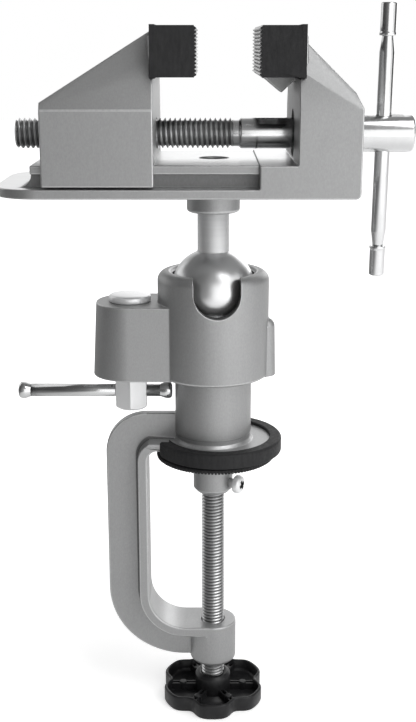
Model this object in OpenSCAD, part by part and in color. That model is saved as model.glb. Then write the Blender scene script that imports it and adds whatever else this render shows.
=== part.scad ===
// Small bench vise on a ball joint, with a swivelling sleeve and a screw clamp for a table edge.
// Frame in millimetres: the origin is the middle of the upper clamp pad's lower face, where the
// table top lies. +Z is up the swivel axis, +X runs to the screw's handle, -Y faces the notch side.
// It is shown with the clamp closed and the jaws partly open.

/* [Jaws] */
// Width across the jaws
jaw_w = 70; // [66:1:80]
// Opening between the two rubber pads
jaw_gap = 23; // [8:0.5:30]
// Length of the moving jaw along the rail
moving_len = 42.2; // [40:0.2:44]
// Thickness of a rubber pad, clamping face to back
pad_t = 17.2; // [15:0.2:19]
// Height of a rubber pad
pad_h = 18.4; // [17:0.2:20]

/* [Slide rail] */
// Thickness of the base plate
plate_t = 3.7; // [3:0.1:5]
// Width of the rail's top flange
rail_w = 63; // [58:1:64]
// Width of the neck under the flange
neck_w = 54; // [46:1:55]

/* [Main screw] */
// Outer diameter of the main screw's thread
screw_d = 12; // [10:0.5:12]
// Travel for one turn of the main screw
screw_pitch = 2; // [1.5:0.25:2.5]
// Diameter of the round head that holds the handle bar
head_d = 15; // [14:0.5:18]
// Diameter of the handle bar
bar_d = 6; // [5:0.1:6]
// Length of the handle bar over its caps
bar_len = 108.5; // [90:0.5:120]

/* [Ball joint] */
// Diameter of the ball
ball_d = 35.4; // [35:0.1:35.5]
// Diameter of the stem on the ball
stem_d = 13; // [12:0.1:14]
// Height of the ball's centre over the table top
ball_z = 69.3; // [69:0.1:70]

/* [Sleeve] */
// Outside diameter of the sleeve
sleeve_d = 46.2; // [45:0.1:48]
// Bore of the sleeve and of its ball socket
socket_d = 35.6; // [35.6:0.1:35.8]
// Width of the notch that the stem tips into
notch_w = 19; // [16:0.5:20]
// Turn of the notch from square to the lug, in degrees
notch_turn = 4; // [0:1:8]

/* [Locking lever] */
// Width across the flats of the lever nut
nut_af = 13; // [12:0.5:14]
// Diameter of the lever bar
lever_d = 5.5; // [5:0.1:5.6]
// Length of the lever bar over its round ends
lever_len = 65.3; // [56:0.1:70]

/* [Table clamp] */
// Reach of the frame from the swivel axis to its outer edge
frame_reach = 46; // [46:0.5:52]
// Depth of the frame from the table face to its lower edge
frame_depth = 98.5; // [98.5:0.5:110]
// Width of the frame's inner flange
flange_w = 20; // [18:0.5:20]
// Thickness of the frame's web
web_t = 4.2; // [3.5:0.1:5]
// Outer diameter of the rubber clamp pads
clamp_pad_d = 54; // [52:0.5:54]
// Outer diameter of the clamp screw's thread
clamp_screw_d = 10; // [8:0.5:10]
// Travel for one turn of the clamp screw
clamp_pitch = 1.5; // [1.25:0.25:2]
// Diameter of the knob over its lobes
knob_d = 46.4; // [40:0.1:48]
// Number of lobes on the knob
knob_lobes = 6; // [5:1:8]

/* [Hidden] */
$fn = 96;
eps = 0.01;

// Heights on the head, all from the table face
plate_z = 111.3;
neck_z = plate_z + plate_t;
flange_z = 120.3;
rail_top = 123.7;
screw_z = 133.4;
pad_z = 155.9;
boss_z = 102;

// Places along the rail
fixed_pad_x = 16.6;
moving_pad_x = fixed_pad_x - jaw_gap;
fixed_seat_x = fixed_pad_x + pad_t;
moving_seat_x = moving_pad_x - pad_t;
fixed_face_x = 31.6;
fixed_end_x = 55.5;
moving_face_x = moving_seat_x + 1;
moving_end_x = moving_face_x - moving_len;
step_x = 17.2;
rail_end_x = -69.4;
plate_end_x = -85;
plate_corner_r = 18;

// Upper edges of the jaw castings, as half width and height pairs
crease = [jaw_w / 2, 144.3];
fixed_crease = [jaw_w / 2, 143.2];

// Main screw along X
screw_x0 = -78.7;
thread_x1 = 7.8;
shank_d = screw_d + 0.3;
screw_bore_d = shank_d + 0.1;
head_x = 57;
head_x1 = 79.7;
ring_x = 33;
ring_t = 1.6;
handle_x = 67.8;
handle_lean = 3;
handle_drop = 4.1;
cap_d = bar_d + 0.5;
cap_len = 12.8;
neck_len = 6.2;
neck_d = 4.2;

// Sleeve, post and lock
sleeve_z = 33.6;
sleeve_top = 77.8;
rim_r = 16.9;
post_d = 32.3;
lug_x = -34.7;
lug_r = 14.7;
lug_top = 64.8;
chamber_r = 7;
chamber_top = 60.2;
bolt_r = 4;
ball_shoe_z = 49.4;
post_shoe_z = 41;
shoe_r = 3;
nut_z = 18.5;
lever_z = 25.9;
lever_x1 = -17.3;
knob_end_len = 5.1;
knob_end_d = 7.2;
knob_end_skin = 1.6;

// Clamp frame: the throat's inner face and its corners
throat_x = -28;
throat_z = -81.6;
throat_r = 16;
top_fillet_r = 4.5;
under_arm_z = 1.5;
disc_z = 4.8;
disc_r = 24.4;
disc_x = 2.3;
foot_disc_r = 22;
foot_pad_r = 25.3;
strip_t = 4.2;
arm_top = 16.2;
top_corner_r = 17.6;
low_corner_r = 33;
frame_boss_r = 10.2;
frame_boss_z = -101;

// Pressure pad and knob
closed_gap = 0.3;
press_disc_z = -1.9;
press_disc_t = 1.2;
hub_r = 8.5;
hub_z = -19.5;
disc_screw_z = -14.8;
disc_screw_turn = -28;
knob_z = -119.3;
knob_rim = 7;
knob_floor = 1.8;
knob_hub_r = 8;
knob_hub_z = -108.8;
knob_wall = 1.3;

casting = [0.70, 0.71, 0.72];
bright = [0.86, 0.87, 0.88];
steel = [0.62, 0.63, 0.65];
rubber = [0.16, 0.16, 0.17];
plastic = [0.10, 0.10, 0.11];

// Ridges of a thread between a and b, as radius and place pairs
function ridges(r, depth, pitch, a, b) =
    let (turns = floor((b - a) / pitch))
    [for (i = [0 : turns - 1]) each [
        [r - depth, a + i * pitch],
        [r, a + (i + 0.40) * pitch],
        [r, a + (i + 0.60) * pitch]
    ], [r - depth, a + turns * pitch]];

function arc(cx, cy, r, from, to, steps = 6) =
    [for (i = [0 : steps]) let (a = from + (to - from) * i / steps) [cx + r * cos(a), cy + r * sin(a)]];

// A body of revolution about the main screw's axis, from radius and x pairs
module turned_x(points) {
    translate([0, 0, screw_z]) rotate([0, 90, 0]) rotate_extrude() polygon(points);
}

module rod_x(r, x0, x1, z = screw_z) {
    translate([x0, 0, z]) rotate([0, 90, 0]) cylinder(r = r, h = x1 - x0);
}

module block(x0, x1, half_y, z0, z1) {
    translate([x0, -half_y, z0]) cube([x1 - x0, 2 * half_y, z1 - z0]);
}

// A thin upright slice at x, mirrored in Y, from half width and height pairs
module slice_at(x, outline) {
    translate([x, 0, 0]) rotate([90, 0, 90]) linear_extrude(eps)
        polygon([for (p = outline) p, for (i = [len(outline) - 1 : -1 : 0]) [-outline[i][0], outline[i][1]]]);
}

module cross_recess(size, depth) {
    for (a = [0, 90]) rotate([0, 0, a]) translate([-size / 2, -size / 8, -depth]) cube([size, size / 4, 2 * depth]);
}

// Sloping top of the moving jaw: one long facet over one three-cornered facet on each side
module moving_jaw_top() {
    hull() {
        slice_at(moving_end_x, [crease, [33.7, 146.8]]);
        slice_at(moving_face_x - eps, [crease, [30.8, 159.3], [23.6, 173.2]]);
    }
}

module moving_jaw() {
    nose_x1 = moving_pad_x - 5.5;
    color(casting) difference() {
        union() {
            difference() {
                union() {
                    block(moving_end_x, moving_face_x, jaw_w / 2, neck_z + 0.8, crease[1]);
                    moving_jaw_top();
                }
                block(moving_seat_x, moving_face_x + 1, jaw_w, pad_z - 0.5, 200);
            }
            block(moving_seat_x - 1, nose_x1, 29, 159.5, 170.7);
        }
        // channel for the rail, wide for the flange and narrow for the neck
        block(moving_end_x - 1, moving_face_x + 1, rail_w / 2 + 0.2, flange_z - 0.15, rail_top + 0.15);
        block(moving_end_x - 1, moving_face_x + 1, neck_w / 2 + 0.2, neck_z, flange_z);
        rod_x(screw_d / 2 + 0.4, moving_end_x - 1, moving_face_x + 1);
        nut_pocket();
    }
}

module nut_pocket() {
    block(moving_face_x - 17.2, moving_face_x - 5.2, 10, rail_top - 1, screw_z + 9.5);
}

module jaw_nut() {
    color(steel) difference() {
        block(moving_face_x - 17.2, moving_face_x - 5.2, 10, rail_top + 0.5, screw_z + 9.5);
        rod_x(screw_d / 2 + 0.05, moving_face_x - 18, moving_face_x - 4);
    }
}

// Rubber block that slips over a jaw's nose; its back edge stands out as a lip
module jaw_pad(face_x, seat_x) {
    out = seat_x > face_x ? 1 : -1;
    lip = 2;
    nose_x = face_x + out * 5.5;
    color(rubber) difference() {
        union() {
            block(min(face_x, seat_x), max(face_x, seat_x), jaw_w / 2, pad_z, pad_z + pad_h);
            block(min(seat_x - out * lip, seat_x), max(seat_x - out * lip, seat_x), jaw_w / 2 + 0.5,
                pad_z - 0.4, pad_z + pad_h + 0.3);
        }
        block(min(nose_x, seat_x + out), max(nose_x, seat_x + out), 29, 159.5, 170.7);
    }
}

module fixed_jaw_pad() {
    jaw_pad(fixed_pad_x, fixed_seat_x);
}

module moving_jaw_pad() {
    jaw_pad(moving_pad_x, moving_seat_x);
}

module plate_outline() {
    bend_x = plate_end_x + plate_corner_r;
    translate([bend_x, -jaw_w / 2]) square([fixed_end_x - bend_x - 5, jaw_w]);
    translate([plate_end_x, plate_corner_r - jaw_w / 2]) square([plate_corner_r, jaw_w - 2 * plate_corner_r]);
    for (s = [-1, 1]) translate([bend_x, s * (jaw_w / 2 - plate_corner_r)]) circle(r = plate_corner_r);
}

// Side view of the fixed end: the step at rail height, the jaw block and a rounded lower corner
module fixed_block() {
    corner_r = 2;
    rotate([90, 0, 0]) linear_extrude(jaw_w, center = true) polygon([
        [step_x, plate_z], each arc(fixed_end_x - corner_r, plate_z + corner_r, corner_r, -90, 0),
        [fixed_end_x, fixed_crease[1]], [fixed_face_x, fixed_crease[1]],
        [fixed_face_x, rail_top + 0.2], [step_x, rail_top + 0.2]
    ]);
}

module fixed_jaw_top() {
    hull() {
        slice_at(fixed_face_x, [fixed_crease, [30.4, 158.4], [22.8, 171.3]]);
        slice_at(52.7, [fixed_crease, [31, 150.3]]);
        slice_at(fixed_end_x - eps, [fixed_crease, [34.5, 144.7]]);
    }
}

// Small shelf with a square keel under the fixed pad
module keel() {
    rotate([90, 0, 0]) linear_extrude(18, center = true) polygon([
        [18.7, pad_z - 0.05], [fixed_face_x + 0.1, pad_z - 0.05], [fixed_face_x + 0.1, 155.3],
        [fixed_face_x + 1, 155.3], [fixed_face_x + 1, 154.3], [31.4, 154.3], [26.3, 149.4],
        [19.6, 154.9], [18.7, 154.9]
    ]);
}

module rail() {
    foot_r = 5.7;
    block(rail_end_x, step_x + 1, neck_w / 2, neck_z - 0.5, flange_z + 0.2);
    block(rail_end_x, step_x + 1, rail_w / 2, flange_z, rail_top);
    // hollow foot at the rail's open end
    rotate([90, 0, 0]) linear_extrude(neck_w, center = true) difference() {
        translate([rail_end_x - foot_r, neck_z - 0.5]) square([foot_r + 1, foot_r + 0.4]);
        translate([rail_end_x - foot_r, neck_z + foot_r]) circle(r = foot_r);
    }
}

module vise_base() {
    boss_r = 10.8;
    color(casting) difference() {
        union() {
            translate([0, 0, plate_z]) linear_extrude(plate_t) plate_outline();
            rail();
            difference() {
                union() {
                    fixed_block();
                    fixed_jaw_top();
                }
                block(fixed_face_x - 1, fixed_seat_x, jaw_w, pad_z - 0.5, 200);
            }
            block(fixed_pad_x + 5.5, fixed_seat_x + 1, 29, 159.5, 170.7);
            keel();
            rotate_extrude() polygon([[0, boss_z], [boss_r - 0.8, boss_z], [boss_r, boss_z + 0.8],
                [boss_r, plate_z + 1], [0, plate_z + 1]]);
        }
        rod_x(screw_bore_d / 2, fixed_face_x - 1, fixed_end_x + 1);
        rod_x(9.5, fixed_face_x - 5, ring_x + ring_t + 0.4);
        // seat for the stem's shoulder, bore for its journal, pocket for its bolt
        translate([0, 0, boss_z - 1]) cylinder(d = stem_d + 0.12, h = 3.1);
        translate([0, 0, boss_z]) cylinder(r = 5.06, h = 30);
        translate([0, 0, 117.9]) cylinder(r = 6.1, h = 10);
    }
}

module main_screw() {
    color(steel) difference() {
        turned_x([
            [0, screw_x0], [screw_d / 2 - 1.4, screw_x0],
            each ridges(screw_d / 2, 1.1, screw_pitch, screw_x0 + 0.6, thread_x1),
            [screw_d / 2 - 0.4, thread_x1 + 0.2], [screw_d / 2 - 0.4, 10.2], [shank_d / 2, 10.8],
            [shank_d / 2, ring_x], [5.2, ring_x], [5.2, ring_x + ring_t], [shank_d / 2, ring_x + ring_t],
            [shank_d / 2, head_x], [head_d / 2 - 0.3, head_x], [head_d / 2, head_x + 0.4],
            [head_d / 2, head_x1 - 0.9], [head_d / 2 - 0.8, head_x1], [0, head_x1]
        ]);
        translate([handle_x, 0, screw_z]) rotate([handle_lean, 0, 0]) cylinder(d = bar_d + 0.12, h = 40, center = true);
    }
}

module screw_washer() {
    color(bright) turned_x([[shank_d / 2 + 0.1, fixed_end_x + 0.05], [9, fixed_end_x + 0.05],
        [9, head_x - 0.05], [shank_d / 2 + 0.1, head_x - 0.05]]);
}

// Open spring clip in the shank's groove
module retaining_ring() {
    color(steel) difference() {
        turned_x([[5.25, ring_x + 0.1], [8, ring_x + 0.1], [8, ring_x + ring_t - 0.1], [5.25, ring_x + ring_t - 0.1]]);
        translate([ring_x - 1, -2, screw_z - 12]) cube([4, 4, 12]);
    }
}

// Places along the handle bar from its own middle; it hangs a little low in the head
module on_handle() {
    translate([handle_x, 0, screw_z]) rotate([handle_lean, 0, 0]) translate([0, 0, -handle_drop]) children();
}

module handle_bar() {
    body = bar_len / 2 - cap_len - neck_len;
    tip = bar_len / 2 - 0.8;
    color(bright) on_handle() rotate_extrude() polygon([
        [0, -tip], [neck_d / 2, -tip], [neck_d / 2, -body - neck_len], [bar_d / 2, -body],
        [bar_d / 2, body], [neck_d / 2, body + neck_len], [neck_d / 2, tip], [0, tip]
    ]);
}

module handle_bar_caps() {
    tip = bar_len / 2;
    color(bright) on_handle() for (s = [0, 180]) rotate([s, 0, 0]) rotate_extrude() polygon([
        [neck_d / 2 + 0.02, tip - cap_len], [cap_d / 2 + 0.1, tip - cap_len], [cap_d / 2 + 0.1, tip - cap_len + 1],
        [cap_d / 2 - 0.1, tip - cap_len + 1.5], [cap_d / 2 - 0.1, tip - 0.5], [cap_d / 2 - 0.6, tip], [0, tip],
        [0, tip - 0.8], [neck_d / 2 + 0.02, tip - 0.8]
    ]);
}

module ball_stem() {
    color(bright) difference() {
        union() {
            translate([0, 0, ball_z]) sphere(d = ball_d);
            translate([0, 0, ball_z]) cylinder(d = stem_d, h = boss_z + 2 - ball_z);
            cylinder_between(5, boss_z, 118);
        }
        cylinder_between(3.05, 100, 119);
    }
}

module cylinder_between(r, z0, z1) {
    translate([0, 0, z0]) cylinder(r = r, h = z1 - z0);
}

module stem_washer() {
    color(steel) difference() {
        cylinder_between(5.9, 118, 119.2);
        cylinder_between(3.1, 117, 120);
    }
}

module stem_bolt() {
    color(bright) difference() {
        union() {
            cylinder_between(3, 102, 119.3);
            rotate_extrude() polygon([[0, 119.2], [5.5, 119.2], [5.5, 121.6], [4.7, 122.5], [0, 122.6]]);
        }
        translate([0, 0, 122.6]) cross_recess(6, 1.6);
    }
}

module ball_sleeve() {
    shoulder_r = 3.8;
    r = sleeve_d / 2;
    color(casting) difference() {
        union() {
            rotate_extrude() polygon([
                [0, sleeve_z], [r - 0.7, sleeve_z], [r, sleeve_z + 0.7],
                each arc(r - shoulder_r, sleeve_top - shoulder_r, shoulder_r, 0, 90, 8), [0, sleeve_top]
            ]);
            translate([lug_x, 0, sleeve_z]) cylinder(r = lug_r, h = lug_top - sleeve_z);
            block(lug_x, -8, lug_r, sleeve_z, lug_top);
            lug_rib();
        }
        translate([0, 0, sleeve_z - 1]) cylinder(d = socket_d, h = ball_z - sleeve_z + 1);
        translate([0, 0, ball_z]) sphere(d = socket_d);
        translate([0, 0, ball_z]) cylinder(r = rim_r, h = 20);
        translate([0, 0, sleeve_top - 1.2]) cylinder(r1 = rim_r, r2 = rim_r + 1.3, h = 1.21);
        stem_notch();
        translate([lug_x, 0, sleeve_z - 1]) cylinder(r = chamber_r, h = chamber_top - sleeve_z + 1);
        translate([lug_x, 0, sleeve_z]) cylinder(r = bolt_r + 0.05, h = 40);
        for (z = [ball_shoe_z, post_shoe_z]) rod_x(shoe_r + 0.05, lug_x + 4, -10, z);
    }
}

// Half-round rib with a domed top on the side away from the lug, a little towards the front
module lug_rib() {
    rib_r = 4.2;
    translate([sleeve_d / 2 + 3 - rib_r, -2.6, sleeve_z]) {
        cylinder(r1 = rib_r, r2 = rib_r - 0.5, h = 54.6 - sleeve_z);
        translate([0, 0, 54.6 - sleeve_z]) sphere(r = rib_r - 0.5);
    }
}

// Round-bottomed notch in the sleeve's front wall, deep enough for the stem lying level
module stem_notch() {
    notch_z = ball_z - stem_d / 2 - 0.9 + notch_w / 2;
    rotate([0, 0, notch_turn]) translate([0, 0, notch_z]) rotate([90, 0, 0]) {
        translate([0, 0, 6]) cylinder(d = notch_w, h = 40);
        translate([-notch_w / 2, 0, 6]) cube([notch_w, 30, 40]);
    }
}

module ball_cup() {
    r = socket_d / 2 - 0.05;
    color(steel) difference() {
        rotate_extrude() polygon([[6, 49.5], [14, 49.5], [r, 52.5], [r, 60], [6, 60]]);
        translate([0, 0, ball_z]) sphere(r = r);
    }
}

// Pin with a cone at each end, from the wedges in the lug to the sleeve's bore
module shoe(z) {
    color(steel) translate([0, 0, z]) rotate([0, 90, 0]) rotate_extrude() polygon([
        [0, lug_x + 6.3], [1.5, lug_x + 6.3], [shoe_r, lug_x + 7.1], [shoe_r, -17.95], [0.8, -15.6], [0, -15.6]
    ]);
}

module ball_shoe() {
    shoe(ball_shoe_z);
}

module post_shoe() {
    shoe(post_shoe_z);
}

module on_lug() {
    translate([lug_x, 0, 0]) children();
}

module lock_bolt() {
    color(bright) on_lug() rotate_extrude() polygon([
        [0, 29.2], [bolt_r - 0.8, 29.2], [bolt_r, 30], [bolt_r, lug_top + 0.05], [8.75, lug_top + 0.05],
        [8.75, 67.1], [7.9, 67.8], [4, 68.2], [0, 68.3]
    ]);
}

module upper_wedge() {
    color(steel) on_lug() rotate_extrude() polygon([
        [bolt_r + 0.05, 47.4], [4.4, 47.4], [chamber_r - 0.05, 52.4], [chamber_r - 0.05, 60], [bolt_r + 0.05, 60]
    ]);
}

module lower_wedge() {
    color(steel) on_lug() rotate_extrude() polygon([
        [bolt_r + 0.05, 37], [chamber_r - 0.05, 37], [chamber_r - 0.05, 38], [4.4, 43], [bolt_r + 0.05, 43]
    ]);
}

// Hexagon nut with a round collar that pushes on the lower wedge, cross-drilled for the bar
module lever_nut() {
    hex_r = nut_af / 2 / cos(30);
    nut_top = 33.2;
    color(bright) on_lug() difference() {
        union() {
            intersection() {
                translate([0, 0, nut_z]) rotate([0, 0, 30]) cylinder(r = hex_r, h = nut_top - nut_z, $fn = 6);
                rotate_extrude() polygon([[0, nut_z], [5.8, nut_z], [hex_r + 0.1, nut_z + 1.3],
                    [hex_r + 0.1, nut_top], [0, nut_top]]);
            }
            cylinder_between(6.4, nut_top - 0.5, 37);
        }
        cylinder_between(bolt_r + 0.05, 28.95, 38);
        translate([-10, 0, lever_z]) rotate([0, 90, 0]) cylinder(d = lever_d + 0.1, h = 20);
    }
}

module lever_bar() {
    x0 = lever_x1 - lever_len;
    color(bright) rod_x(lever_d / 2, x0 + knob_end_skin, lever_x1 - knob_end_skin, lever_z);
}

module lever_bar_ends() {
    x0 = lever_x1 - lever_len;
    color(bright) for (e = [[x0, 1], [lever_x1, -1]]) translate([e[0], 0, lever_z]) rotate([0, e[1] * 90, 0])
        rotate_extrude() polygon([
            [0, 0], each arc(0, knob_end_d / 2, knob_end_d / 2, -75, 0, 8),
            [knob_end_d / 2, knob_end_len - 0.8], [knob_end_d / 2 - 0.5, knob_end_len],
            [lever_d / 2, knob_end_len], [lever_d / 2, knob_end_skin], [0, knob_end_skin]
        ]);
}

// The empty space inside the C, grown outwards by a given amount
module throat(grow) {
    translate([throat_x - grow, throat_z + throat_r]) square([100, -3 - throat_z - throat_r]);
    translate([throat_x + throat_r, throat_z - grow]) square([100, throat_r + grow]);
    translate([throat_x + throat_r, throat_z + throat_r]) circle(r = throat_r + grow);
    translate([throat_x + top_fillet_r, -3]) square([100, under_arm_z + 3 + grow]);
    translate([throat_x + top_fillet_r, -3]) circle(r = top_fillet_r + grow);
}

module web_outline() {
    difference() {
        union() {
            translate([-frame_reach + top_corner_r, arm_top - top_corner_r]) circle(r = top_corner_r);
            translate([-frame_reach + top_corner_r, -10]) square([40, arm_top + 10]);
            translate([-frame_reach, -frame_depth + low_corner_r])
                square([top_corner_r, frame_depth - low_corner_r + arm_top - top_corner_r]);
            translate([-frame_reach + low_corner_r, -frame_depth + low_corner_r]) circle(r = low_corner_r);
            translate([-frame_reach + low_corner_r, -frame_depth]) square([30, low_corner_r]);
        }
        throat(2);
        translate([-8, -200]) square([100, 300]);
    }
}

module flange_strip() {
    difference() {
        throat(strip_t);
        throat(0);
        translate([-50, disc_z]) square([200, 50]);
        translate([disc_x - 21.3, -20]) square([200, 40]);
        translate([0, -200]) square([200, 190]);
    }
}

// Post that the sleeve turns on, its grooved head hidden in the sleeve, and the clamp's disc
module post() {
    head_r = socket_d / 2 - 0.1;
    r = post_d / 2;
    translate([disc_x, 0, 2]) cylinder(r = disc_r, h = disc_z - 2);
    rotate_extrude() polygon([
        [0, 2.2], [r + 0.8, 2.2], [r + 0.8, disc_z], [r - 0.4, disc_z + 1.2], [r - 0.4, 7.9],
        [r, 8.4], [r, 35], [head_r, 35], [head_r, 37.7], [14.4, 40.4], [14.4, 41.6], [head_r, 44.3],
        [head_r, 45.5], [head_r - 0.5, 46], [0, 46]
    ]);
}

module clamp_frame() {
    color(casting) difference() {
        union() {
            rotate([90, 0, 0]) linear_extrude(web_t, center = true) web_outline();
            rotate([90, 0, 0]) linear_extrude(flange_w, center = true) flange_strip();
            post();
            rotate_extrude() polygon([
                [0, frame_boss_z], each arc(frame_boss_r - 2.2, frame_boss_z + 2.2, 2.2, -90, 0, 6),
                [frame_boss_r, throat_z], [0, throat_z]
            ]);
        }
        translate([0, 0, frame_boss_z - 1]) cylinder(d = clamp_screw_d + 0.1, h = throat_z - frame_boss_z + 2);
    }
}

// Rubber cup under the frame's disc, open where the arm leaves it
module upper_clamp_pad() {
    r = clamp_pad_d / 2;
    color(rubber) translate([disc_x, 0, 0]) difference() {
        rotate_extrude() polygon([
            [0, 0], [r, 0], [r, 5.5], [r - 0.7, 6.2], [22, 6.2], [22, disc_z], [disc_r + 0.1, disc_z],
            [disc_r + 0.1, 2], [0, 2]
        ]);
        block(-40, -21, flange_w / 2 + 0.3, -1, 10);
    }
}

module lower_clamp_pad() {
    r = foot_pad_r;
    color(rubber) rotate_extrude() polygon([
        [0, -closed_gap], [r, -closed_gap], [r, -2.6], [r - 0.5, -3.1], [foot_disc_r + 0.1, -3.1],
        [foot_disc_r + 0.1, press_disc_z], [0, press_disc_z]
    ]);
}

module pressure_disc() {
    bore_r = clamp_screw_d / 2 + 0.3;
    low = press_disc_z - press_disc_t;
    color(bright) difference() {
        rotate_extrude() polygon([
            [0, press_disc_z], [foot_disc_r, press_disc_z], [foot_disc_r, low], [hub_r + 1.5, low], [hub_r, low - 1.5],
            [hub_r, hub_z + 1.8], [hub_r - 1.6, hub_z], [bore_r, hub_z], [bore_r, -6], [0, -6]
        ]);
        on_disc_screw() cylinder(r = 2.05, h = 12);
    }
}

module on_disc_screw() {
    translate([0, 0, disc_screw_z]) rotate([0, 0, disc_screw_turn]) rotate([0, 90, 0]) children();
}

module disc_screw() {
    color(bright) on_disc_screw() difference() {
        rotate_extrude() polygon([[0, 3.5], [2, 3.5], [2, 11.6], [3.8, 11.6], [3.8, 13.1], [3, 14.1], [0, 14.2]]);
        translate([0, 0, 14.2]) cross_recess(5.2, 1.4);
    }
}

module clamp_screw() {
    r = clamp_screw_d / 2;
    groove_low = disc_screw_z - 2.3;
    color(steel) rotate_extrude() polygon([
        [0, knob_z + 2], [4.2, knob_z + 2], [4.2, knob_hub_z],
        each ridges(r, 0.9, clamp_pitch, knob_hub_z, -18.4),
        [4, -18.2], [4, groove_low], [3, groove_low], [3, groove_low + 4.6], [4, groove_low + 4.6],
        [4, -7], [3.2, -6.2], [0, -6.2]
    ]);
}

// Lobed outline made of overlapping circles
module lobes(r) {
    circle(r = r * 0.8);
    for (i = [0 : knob_lobes - 1]) rotate(360 / knob_lobes * (i + 0.5)) translate([knob_d / 4, 0])
        circle(r = r - knob_d / 4);
}

// Open dish with a wall round the lobes, a raised hub and ribs between them
module clamp_knob() {
    color(plastic) difference() {
        union() {
            translate([0, 0, knob_z]) linear_extrude(knob_floor) lobes(knob_d / 2);
            translate([0, 0, knob_z]) linear_extrude(knob_rim) difference() {
                lobes(knob_d / 2);
                lobes(knob_d / 2 - knob_wall);
            }
            translate([0, 0, knob_z]) cylinder(r = knob_hub_r, h = knob_hub_z - knob_z - 0.6);
            translate([0, 0, knob_z]) cylinder(r = knob_hub_r - 0.6, h = knob_hub_z - knob_z);
            for (i = [0 : knob_lobes - 1]) rotate(360 / knob_lobes * i)
                translate([knob_hub_r - 1, -0.6, knob_z]) cube([knob_d * 0.43 - knob_hub_r, 1.2, knob_rim - 1.5]);
        }
        translate([0, 0, knob_z + 2]) cylinder(r = 4.25, h = 20);
    }
}

clamp_frame();
upper_clamp_pad();
lower_clamp_pad();
pressure_disc();
disc_screw();
clamp_screw();
clamp_knob();
ball_sleeve();
ball_cup();
ball_shoe();
post_shoe();
lock_bolt();
upper_wedge();
lower_wedge();
lever_nut();
lever_bar();
lever_bar_ends();
ball_stem();
stem_washer();
stem_bolt();
vise_base();
fixed_jaw_pad();
moving_jaw();
moving_jaw_pad();
jaw_nut();
main_screw();
screw_washer();
retaining_ring();
handle_bar();
handle_bar_caps();
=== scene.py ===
"""Looks of the bench vise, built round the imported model: bevelled castings, real threads, ribbed rubber.
Shapes are written in millimetres in the row frame and become metres when their mesh is made.
The camera, the lights and the floor are written in metres."""
import math

import bmesh
import bpy
from mathutils import Matrix, Vector


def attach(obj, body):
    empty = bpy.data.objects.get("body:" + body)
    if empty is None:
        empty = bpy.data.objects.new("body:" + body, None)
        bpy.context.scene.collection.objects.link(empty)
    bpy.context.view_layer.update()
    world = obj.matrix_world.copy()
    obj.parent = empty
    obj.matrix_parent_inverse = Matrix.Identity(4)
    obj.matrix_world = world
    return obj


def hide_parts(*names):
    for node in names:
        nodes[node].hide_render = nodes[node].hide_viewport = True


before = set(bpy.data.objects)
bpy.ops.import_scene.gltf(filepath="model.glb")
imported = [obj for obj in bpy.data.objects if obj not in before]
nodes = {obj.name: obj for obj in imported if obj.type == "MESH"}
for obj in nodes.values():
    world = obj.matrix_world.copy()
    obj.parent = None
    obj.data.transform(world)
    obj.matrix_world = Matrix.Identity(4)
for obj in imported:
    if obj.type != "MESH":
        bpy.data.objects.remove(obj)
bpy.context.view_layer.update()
scene = bpy.context.scene
scene.view_settings.view_transform = "Standard"

MM = 0.001
TAU = 2 * math.pi

# Places and sizes in millimetres
SCREW_Z = 133.4  # the main screw's axis
HANDLE_X = 67.8  # the handle's hole in the screw's head
HANDLE_LEAN = 3  # degrees
LUG_X = -34.7  # the lock's axis, in the sleeve's lug
LUG_R = 14.7  # the lug's round end
LEVER_Z = 25.9  # the lock's sliding bar
BALL_Z = 69.3
BALL_R = 17.7
FOOT_SCREW_Z = -14.8  # the small screw in the side of the clamp's foot
THROAT_Z = -45  # the middle of the clamp's opening
KNOB_BASE = -119.3  # what the part stands on
KNOB_LOBES = 6
JAW_HALF = 35.0  # half of the jaws' width
MAIN_THREAD = {"r": 6.0, "depth": 1.15}
CLAMP_THREAD = {"r": 5.0, "depth": 0.85}

ALONG_X = Matrix(((0, 0, 1, 0), (1, 0, 0, 0), (0, 1, 0, 0), (0, 0, 0, 1)))
UPRIGHT = Matrix.Identity(4)
ON_SCREW = Matrix.Translation((0, 0, SCREW_Z)) @ ALONG_X
ON_HANDLE = Matrix.Translation((HANDLE_X, 0, SCREW_Z)) @ Matrix.Rotation(math.radians(HANDLE_LEAN), 4, "X")

# The photo's camera, found from the photo's own perspective
PHOTO_H = 722  # pixels
FOCAL_PX = 1128
TILT_DOWN = 15.7  # degrees
CAMERA_AT = (-0.0022, -0.459, 0.1677)
SENSOR = 36.0

# The studio: how bright the room is from the viewer's side to the back, and from left to right
DEPTH_STOPS = ((0.0, 0.60), (0.10, 0.45), (0.25, 0.30), (0.55, 0.28), (0.80, 0.42), (0.88, 1.20),
               (1.0, 1.60))
WIDTH_STOPS = ((0.0, 0.30), (0.12, 0.34), (0.32, 0.48), (0.45, 0.80), (0.64, 1.10), (0.84, 0.80),
               (0.93, 0.30), (1.0, 0.22))
FLOOR_Z = KNOB_BASE * MM
FLOOR_SIZE = 4
FLOOR_WHITE = 0.85
FLOOR_GLOW = 0.52  # near the object, so that the shadow there still shows
FLOOR_FADE = (0.06, 0.30)  # distances between which the glow grows to full white
MIRRORED_X = (-0.42, -0.03)  # the stretch over which the mirrored floor grows lighter
MIRRORED_TONE = (0.20, 0.95)
MIRRORED_GLOW = 0.52


def add(name, data):
    """Makes an object of its data and puts it in the scene."""
    o = bpy.data.objects.new(name, data)
    scene.collection.objects.link(o)
    return o


def new_node(tree, kind, **values):
    """Adds a shader node; an underscore in a value's name stands for a space in the socket's."""
    n = tree.nodes.new("ShaderNode" + kind)
    for name, value in values.items():
        n.inputs[name.replace("_", " ")].default_value = value
    return n


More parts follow.
